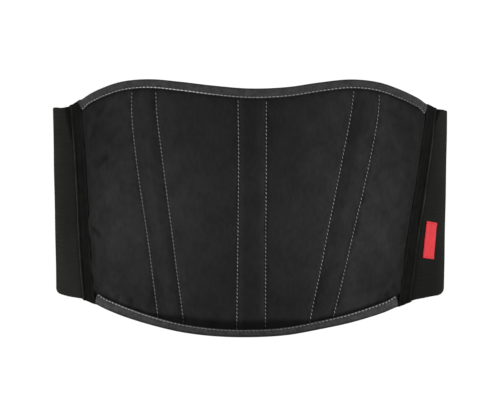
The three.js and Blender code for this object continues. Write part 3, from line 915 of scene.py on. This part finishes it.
wing = {
    "cloth": 2.5, "endRadius": 28.0, "pastFront": 55.0, "stations": 230, "rows": 76, "rimPoints": 5,
    "climb": 75.0, "levelBefore": 5.0, "lift": 4.6,           # of the outer wing, over the other's end
    "freeFrom": (165, 200), "freeUpTo": (300, 380),           # along, where it lies free
    "bow": {-1: 0.1, 1: 0.65},                                # how far it stands off over the hip
    "wave": 0.25, "waveLengths": (13.0, 7.1), "secondWave": 0.7, "waveLean": 40.0,
    "rimWave": 0.3, "rimLength": 8.0, "rimPhase": 2.2, "sag": 0.08, "sagLength": 9.5, "sagPhase": 1.3,
    # Painted shade in the groove beside the tape, painted light and shade lower down, and a painted
    # highlight towards the hip
    "shadeAtTape": (0.5, 2.0),                                # how much, how far
    "lowShade": {-1: 0.27, 1: -0.14}, "lowFrom": (10, 65), "lowUpTo": (185, 230),  # paler lower down
    "highlightAtHip": 0.39, "hipFrom": (180, 215),
}
# A fold's shade is painted shade in the gathers
wingFold = {  # where a wing is gathered into the top of its seam
    "width": 12.0, "reach": {-1: 42.0, 1: 16.0}, "depth": 0.5, "shade": 0.55,
    "solid": 0.55, "soft": 1.5, "tip": 4.0,                   # share of the width, and mm
    "pleats": 1.6, "pleatStart": 2.0, "pleatFade": 4.0, "pleatTip": 6.0,
}


def cornerCut(beforeEnd, radius):
    # How much a round corner takes off the height at a distance before the end
    short = np.clip(radius - beforeEnd, 0, radius)
    return radius - np.sqrt(radius ** 2 - short ** 2)


def roundRim(rows, rimPoints):
    # A thin wall from edge to edge with half-round rims: the share across, how far a rim's point lies in
    # from its edge, and how thick the wall is there, both in halves of the cloth
    arc = np.linspace(0.2, np.pi / 2, rimPoints)  # a small flat stays on the rim's middle
    rimIn, rimThick = 1 - np.cos(arc), np.sin(arc)
    share = np.concatenate([np.zeros(rimPoints), np.linspace(0, 1, rows + 2)[1:-1], np.ones(rimPoints)])
    inset = np.concatenate([rimIn, np.zeros(rows), -rimIn[::-1]])
    thick = np.concatenate([rimThick, np.ones(rows), rimThick[::-1]])
    return share[None, :], inset[None, :], thick[None, :]


def gathers(fromTape, fromTop, reach):
    # A wedge beside the tape, widest at the edge, with pleats that run out of its tip. Gives the share of
    # each point inside it and the pleats' height.
    width = wingFold["width"] * np.clip(1 - fromTop / reach, 0, 1)
    inside = 1 - smoothStep(fromTape, wingFold["solid"] * width, width + wingFold["soft"])
    pleat = np.sin(2 * np.pi * wingFold["pleats"] * fromTape / (width + 1))
    pleat = pleat * (1 - smoothStep(fromTape, width, width + wingFold["pleatFade"]))
    pleat = pleat * smoothStep(width, 0, wingFold["pleatTip"])
    pleat = pleat * smoothStep(fromTape, 0, wingFold["pleatStart"])
    return inside * smoothStep(width, 0, wingFold["tip"]), pleat


def makeWing(where, side, lift):
    # Stations run from the side seam to the round end and close up there; each station is a thin wall with
    # round rims, and soft waves run along it where it lies free
    seam = seams[where + "Side"]
    share, inset, thick = roundRim(wing["rows"], wing["rimPoints"])
    half = wing["cloth"] / 2
    run = np.sin(np.linspace(0, np.pi / 2, wing["stations"]))[:, None]
    end = side * (front + wing["pastFront"])

    def lineAt(height):
        return blend(seam(height) + side * gap, end, run)

    cut = cornerCut(np.abs(end - lineAt(np.zeros(1))), wing["endRadius"])
    along, height = betweenEdges(lineAt, share, cut, cut)
    aside = np.abs(along)
    free = smoothStep(aside, *wing["freeFrom"]) * (1 - smoothStep(aside, *wing["freeUpTo"]))
    long, short = wing["waveLengths"]
    leaning = np.sin(along / short + height / wing["waveLean"])
    waves = np.sin(along / long + side) + wing["secondWave"] * leaning
    rimWave = np.sin(along / wing["rimLength"] + wing["rimPhase"] * side) * wing["rimWave"]
    height = height + free * rimWave * (2 * share - 1) + half * inset
    sag = np.sin(height / wing["sagLength"] + wing["sagPhase"] * side) * wing["sag"]
    fromTape = np.maximum(np.abs(along - seam(height)) - tapeHalf, 0)
    inFold, pleat = gathers(fromTape, topEdge(along) - height, wingFold["reach"][side])
    middle = half + lift(along) + free * (wing["wave"] * waves + sag + wing["bow"][side])
    middle += wingFold["depth"] * pleat
    outer, inner = (flatPlace(along, height, middle + way * half * thick) for way in (1, -1))

    # Painted light and shade: painted shade beside the tape and in the gathers, paler on the left and darker
    # on the right lower down, and a painted highlight towards the hip
    dark, reach = wing["shadeAtTape"]
    shade = (1 - dark * np.exp(-fromTape / reach)) * (1 - wingFold["shade"] * inFold)
    low = smoothStep(-height, *wing["lowFrom"]) * (1 - smoothStep(aside, *wing["lowUpTo"]))
    shade *= 1 + wing["lowShade"][side] * low
    shade *= 1 + wing["highlightAtHip"] * smoothStep(aside, *wing["hipFrom"])
    addSheet(where + "_elastic_wing", outer, inner, wingElastic, shade,
             node=where + "_wing")


def outerLift(along):
    # The outer wing climbs smoothly over the other one's end and the hook pad
    level = front - wing["pastFront"] - wing["levelBefore"]
    return wing["lift"] * smoothStep(along, level - wing["climb"], level)


makeWing("left", -1, np.zeros_like)
makeWing("right", 1, outerLift)
print("wings made")


# Closure between the wings' ends

hookPad = {
    "cloth": 1.5, "width": 90.0, "height": 120.0, "cornerRadius": 10.0, "level": 2.8,
    "stations": 90, "rows": 60, "rimPoints": 4,
    "stitchInset": 3.0, "stitch": {"pitch": 3.0, "dash": 2.2, "radius": 0.3}, "runPoints": 240,
}


def makeHookPad():
    # Stations run across the pad and close up at its two sides, where round corners take its height away
    share, inset, thick = roundRim(hookPad["rows"], hookPad["rimPoints"])
    half = hookPad["cloth"] / 2
    offset = -hookPad["width"] / 2 * np.cos(np.linspace(0, np.pi, hookPad["stations"]))[:, None]
    cut = cornerCut(hookPad["width"] / 2 - np.abs(offset), hookPad["cornerRadius"])
    height = (share - 0.5) * (hookPad["height"] - 2 * cut) + half * inset
    middle = hookPad["level"] + half
    outer, inner = (flatPlace(front + offset, height, middle + way * half * thick) for way in (1, -1))
    addSheet("hook_tape_pad", outer, inner, hookTape,
             node="hook_pad")


makeHookPad()


# Bare label

label = {
    "cloth": 0.8, "width": 17.5, "height": 33.5, "along": 178.2, "heightAt": -34.1, "leanDeg": 8.7,
    "level": 2.8, "stations": 60, "rows": 90, "hem": 3.2, "hemLift": 0.25, "hemSoft": (0.6, 0.2),
    "bow": 0.25, "rimThin": 0.3, "rimWidth": 0.35,
    "stitchInset": 1.5, "stitch": {"pitch": 2.2, "dash": 1.6, "radius": 0.2}, "runPoints": 40,
}


def labelPlace(x, y, out):
    # Label's own x and y, turned by its lean about its middle
    lean = math.radians(label["leanDeg"])
    along = label["along"] + x * math.cos(lean) + y * math.sin(lean)
    height = label["heightAt"] - x * math.sin(lean) + y * math.cos(lean)
    return flatPlace(along, height, out)


def labelFront(x, y):
    # Front of the label: hems at its two short ends, a slight bow, thinned at the rims
    fromEnd = label["height"] / 2 - np.abs(y)
    before, after = label["hemSoft"]
    hem = label["hemLift"] * (1 - smoothStep(fromEnd, label["hem"] - before, label["hem"] + after))
    bow = label["bow"] * (1 - (2 * x / label["width"]) ** 2) * (1 - (2 * y / label["height"]) ** 2)
    edge = bell(label["width"] / 2 - np.abs(x), label["rimWidth"])
    tip = bell(fromEnd, label["rimWidth"])
    return label["level"] + label["cloth"] + hem + bow - label["rimThin"] * (edge + tip)


def makeLabel():
    # A flat sheet, with its mesh crowded towards the rims
    acrossShare, upShare = (
        np.sin(np.linspace(-np.pi / 2, np.pi / 2, label[key])) for key in ("stations", "rows")
    )
    x = (label["width"] / 2 * acrossShare)[:, None]
    y = (label["height"] / 2 * upShare)[None, :]
    outer, inner = labelPlace(x, y, labelFront(x, y)), labelPlace(x, y, label["level"])
    addSheet("red_label", outer, inner, labelWeave,
             node="label")


makeLabel()
print("hook pad and label made")


# Stitches

threadForm = {
    "stations": 5, "sides": 6,
    "arch": 1.9, "sunk": 0.9, "thinEnd": 0.45,  # in radii of the thread
}
threadCaps = {0: ([3, 2, 1, 0], [5, 4, 3, 0]), -1: ([0, 1, 2, 3], [0, 3, 4, 5])}  # two quads at each end


def stitchRun(path, pitch, dash, radius, side=1, shade=1.0, lean=0.0):
    # Stitches along a run of flat places: each is a short thread that rises out of the cloth and goes back
    # in. A ring of points is carried along it, with the thread thinner at both ends. dash and shade may
    # have a value for each place, and lean is how far a stitch slants across for each mm along.
    length = np.linalg.norm(np.diff(path[:, :2], axis=0), axis=1)
    reach = np.concatenate([[0], np.cumsum(length)])
    count = int(reach[-1] // pitch)
    share = np.linspace(0, 1, threadForm["stations"])
    arch = np.sin(np.pi * share)
    centreAt = (reach[-1] - count * pitch) / 2 + pitch * (np.arange(count) + 0.5)
    dashAt = np.interp(centreAt, reach, np.broadcast_to(dash, len(path)))
    at = centreAt[:, None] + dashAt[:, None] * (share - 0.5)
    middle = np.stack([np.interp(at, reach, path[:, k]) for k in range(3)], axis=-1)
    run = middle[:, -1, :2] - middle[:, 0, :2]
    across = np.stack([-run[:, 1], run[:, 0]], axis=-1)
    middle[..., :2] += lean * (share - 0.5)[None, :, None] * across[:, None, :]
    middle[..., 2] += side * radius * (threadForm["arch"] * arch - threadForm["sunk"])
    centre, away = wrap(middle), outward(middle) * side
    forward = np.gradient(centre, axis=1)
    forward /= np.linalg.norm(forward, axis=-1, keepdims=True)
    aside = np.cross(away, forward)
    angle = np.linspace(0, 2 * np.pi, threadForm["sides"], endpoint=False)
    thin = radius * mm * blend(threadForm["thinEnd"], 1, arch)[None, :, None, None]
    spoke = aside[:, :, None] * np.cos(angle)[:, None] + away[:, :, None] * np.sin(angle)[:, None]
    points = centre[:, :, None] + spoke * thin
    cloth = flatPlace(at[:, :, None], angle, 0.0)
    index = np.arange(cloth[..., 0].size).reshape(cloth.shape[:3])
    after = np.roll(index, -1, axis=2)
    sides = np.stack([index[:, :-1], after[:, :-1], after[:, 1:], index[:, 1:]], axis=-1).reshape(-1, 4)
    caps = [index[:, end][:, quad] for end, quads in threadCaps.items() for quad in quads]
    shades = np.interp(at, reach, np.broadcast_to(shade, len(path)))[:, :, None] * np.ones(len(angle))
    return points.reshape(-1, 3), np.concatenate([sides, *caps]), cloth.reshape(-1, 3), shades.ravel()


def addStitches(name, runs, thread):
    # All the runs of one thread are one joined mesh
    points, quads, cloth, shades = zip(*runs)
    starts = np.cumsum([0] + [len(run) for run in points])
    quads = np.concatenate([run + start for run, start in zip(quads, starts)])
    points, cloth, shades = (np.concatenate(each) for each in (points, cloth, shades))
    addPiece(name, points, quads, cloth, threads[thread], shades)


channel = {
    "stitch": {"pitch": 3.4, "dash": 2.75, "radius": 0.34, "lean": 0.26},
    # dimOverFoot and toneAtTop are painted shade on the stitches near the bindings
    "tone": 0.7, "dimOverFoot": 0.83, "toneAtTop": 0.6, "topRun": (2.0, 14.0),
    "underFoot": 1.5,  # how far the stitches run on under the lower binding
}


def clearOfBindings(path):
    # The part of a seam that shows between the two bindings, and its painted shade: dim close to both of
    # them
    along, height = path[:, 0], path[:, 1]
    fromTop, fromFoot = fromBindings(along, height)
    shown = (fromFoot > -channel["underFoot"]) & (fromTop > gap)
    shade = channel["tone"] * (1 - channel["dimOverFoot"] * footBand(along, fromFoot))
    shade *= blend(channel["toneAtTop"], 1, smoothStep(fromTop, *channel["topRun"]))
    return path[shown], shade[shown]


channelRuns = []
for side, paths in ((1, seamsOutside), (-1, seamsInside)):
    for path, shade in map(clearOfBindings, paths):
        channelRuns.append(stitchRun(path, **channel["stitch"], side=side, shade=shade))
addStitches("channel_stitches", channelRuns, "grey")

bindingRuns = []
for where, (frontSeam, backSeam) in bindingSeams.items():
    stitch = binding["stitch"] | {"dash": curveThrough(*binding["dash"])(frontSeam[:, 0])}
    tone = curveThrough(*bindingEdges[where]["threadTone"])(frontSeam[:, 0])
    bindingRuns.append(stitchRun(frontSeam, **stitch, shade=tone))
    bindingRuns.append(stitchRun(backSeam, **stitch, side=-1))
addStitches("binding_stitches", bindingRuns, "grey")

addStitches("tape_stitches", [stitchRun(seam, **tape["stitch"]) for seam in tapeSeams], "black")


def labelRun(end):
    # Across the label, just inside its lower or upper end
    farX, farY = (label[key] / 2 - label["stitchInset"] for key in ("width", "height"))
    x = np.linspace(-farX, farX, label["runPoints"])
    return labelPlace(x, end * farY, labelFront(x, end * farY))


addStitches("label_stitches", [stitchRun(labelRun(end), **label["stitch"]) for end in (-1, 1)], "red")


def closureRun():
    # Round the hook pad, just inside its edge, on the outer wing's face
    across, tall = (hookPad[key] / 2 - hookPad["stitchInset"] for key in ("width", "height"))
    radius = hookPad["cornerRadius"] - hookPad["stitchInset"]
    turn = np.linspace(0, 2 * np.pi, hookPad["runPoints"])
    along = front + np.sign(np.cos(turn)) * (across - radius) + radius * np.cos(turn)
    height = np.sign(np.sin(turn)) * (tall - radius) + radius * np.sin(turn)
    return flatPlace(along, height, outerLift(along) + wing["cloth"])


addStitches("closure_stitches", [stitchRun(closureRun(), **hookPad["stitch"])], "black")
print("stitches made")


# Stage, light and camera, in metres; the lens and the sensor are in millimetres

stage = {
    "below": 0.25, "radius": 0.62, "solidRadius": 0.3, "sides": 64,  # of the floor, which fades out
    "floorTone": 0.85, "seenWhite": 1.02,
    "underfoot": 0.2, "level": 0.5, "overhead": 0.3,                 # light that the room gives
}
lights = {  # place, size, power in watts
    "left_softbox": ((-1.7, -0.5, -0.05), (0.8, 1.3), 20.0),
    "right_softbox": ((1.7, -0.5, -0.05), (0.8, 1.3), 20.0),
    "top_softbox": ((0.0, -0.6, 1.5), (1.4, 1.0), 3.0),
    "back_softbox": ((0.2, 1.6, 0.6), (1.4, 1.0), 14.0),
}
camera = {"place": (0.0, -1.350, 0.07085), "tiltDownDeg": 3.345, "lens": 102.86, "sensor": 36.0}


def paleFloor():
    # Matt and pale in the middle, clear towards its rim, by the distance from the middle
    material = bpy.data.materials.new("pale_floor")
    tree = emptyTree(material)
    place = addNode(tree, "TexCoord").outputs["Object"]
    level = addNode(tree, "VectorMath", {0: place, 1: (1, 1, 0)}, operation="MULTIPLY").outputs[0]
    reach = addNode(tree, "VectorMath", {0: level}, operation="LENGTH").outputs["Value"]
    fade = addNode(tree, "MapRange", {"Value": reach, "From Min": stage["solidRadius"],
                                      "From Max": stage["radius"]}, interpolation_type="SMOOTHSTEP")
    matt = addNode(tree, "BsdfDiffuse", {"Color": (*grey(stage["floorTone"]), 1)})
    clear = addNode(tree, "BsdfTransparent")
    mixed = addNode(tree, "MixShader", {0: fade.outputs[0], 1: matt.outputs[0], 2: clear.outputs[0]})
    addNode(tree, "OutputMaterial", {"Surface": mixed.outputs[0]})
    return material


def makeStage():
    # A round floor a little below the belt
    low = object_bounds()[0][2] - stage["below"]
    turn = np.linspace(0, 2 * np.pi, stage["sides"], endpoint=False)
    rim = flatPlace(stage["radius"] * np.cos(turn), stage["radius"] * np.sin(turn), low)
    mesh = bpy.data.meshes.new("floor")
    mesh.from_pydata(rim.tolist(), [], [tuple(range(stage["sides"]))])
    mesh.materials.append(paleFloor())
    addObject("floor", mesh)


def makeLights():
    # Soft boxes, each turned to the middle of the belt
    for name, (place, size, power) in lights.items():
        data = bpy.data.lights.new(name, "AREA")
        data.shape = "RECTANGLE"
        data.size, data.size_y = size
        data.energy = power
        lamp = addObject(name, data)
        lamp.location = place
        lamp.rotation_euler = (-Vector(place)).to_track_quat("-Z", "Y").to_euler()


def makeRoom():
    # White all round where it is seen; its light is strongest level with the belt and weakest from below
    world = bpy.data.worlds.new("white_room")
    tree = emptyTree(world)
    way = addNode(tree, "TexCoord").outputs["Generated"]
    up = addNode(tree, "SeparateXYZ", {0: way}).outputs["Z"]
    ramp = addNode(tree, "ValToRGB", {"Fac": addMath(tree, "MULTIPLY_ADD", up, 0.5, 0.5)})
    ramp.color_ramp.elements.new(0.5)
    for number, key in enumerate(("underfoot", "level", "overhead")):
        ramp.color_ramp.elements[number].color = (*grey(stage[key]), 1)
    seen = addNode(tree, "LightPath").outputs["Is Camera Ray"]
    shown = addNode(tree, "Background", {"Color": (1, 1, 1, 1), "Strength": stage["seenWhite"]})
    given = addNode(tree, "Background", {"Color": ramp.outputs["Color"]})
    mixed = addNode(tree, "MixShader", {0: seen, 1: given.outputs[0], 2: shown.outputs[0]})
    addNode(tree, "OutputWorld", {"Surface": mixed.outputs[0]})
    bpy.context.scene.world = world


def makeCamera():
    # Straight behind the wearer, a little higher than the belt's middle and tilted down to it
    data = bpy.data.cameras.new("photo_camera")
    data.lens = camera["lens"]
    data.sensor_width = camera["sensor"]
    eye = addObject("photo_camera", data)
    eye.location = camera["place"]
    eye.rotation_euler = (math.radians(90 - camera["tiltDownDeg"]), 0, 0)
    bpy.context.scene.camera = eye
    bpy.context.scene.view_settings.view_transform = "Standard"  # tones as they are lit


makeStage()
makeLights()
makeRoom()
makeCamera()
print("stage, light and camera made")
